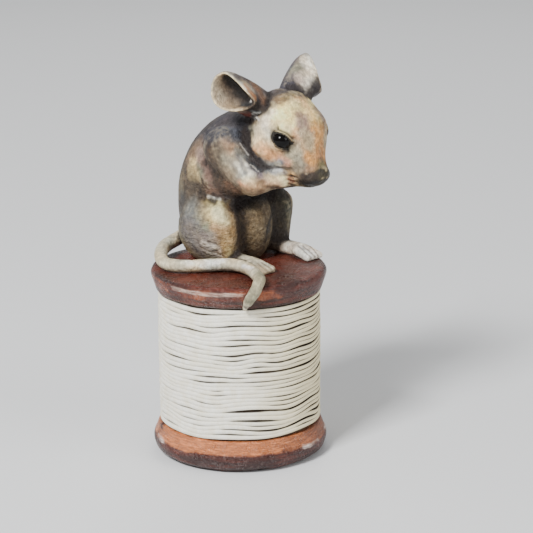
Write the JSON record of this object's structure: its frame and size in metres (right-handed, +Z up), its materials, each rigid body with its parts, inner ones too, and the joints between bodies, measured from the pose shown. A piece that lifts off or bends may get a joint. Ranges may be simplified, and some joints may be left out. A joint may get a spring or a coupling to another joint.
{
  "type": "mouse figurine",
  "caption": "Painted figurine of a mouse sitting up on a reel of thread, paws at its muzzle and tail hanging over the reel's edge.",
  "frame": {"origin": "middle of the underside of the felt pad, on the reel's axis", "axes": "+Z is up along the reel's axis; the mouse faces -Y; its right side is towards -X"},
  "size_m": [0.0458, 0.0464, 0.1004],
  "materials": {
    "reel_wood": "dark red-brown varnish over wood grain, satin",
    "felt": "thin green felt",
    "thread": "off-white cotton thread, matt",
    "mouse_paint": "hand-painted cast resin, mottled fur colours, dull",
    "eye_gloss": "black, glossy",
    "pin_steel": "plain drawn wire"
  },
  "bodies": {
    "root": {"bottom_flange": "reel_wood", "top_flange": "reel_wood", "barrel": "reel_wood", "base_pad": "felt", "thread_core": "thread", "thread_winding": "thread", "torso": "mouse_paint", "head": "mouse_paint", "ear_right": "mouse_paint", "ear_left": "mouse_paint", "foreleg_right": "mouse_paint", "foreleg_left": "mouse_paint", "haunch_right": "mouse_paint", "haunch_left": "mouse_paint", "hind_foot_right": "mouse_paint", "hind_foot_left": "mouse_paint", "tail": "mouse_paint", "eye_right": "eye_gloss", "eye_left": "eye_gloss", "seat_pins": "pin_steel", "neck_pin": "pin_steel", "foreleg_pins": "pin_steel", "haunch_pins": "pin_steel", "tail_pin": "pin_steel"}
  },
  "joints": []
}
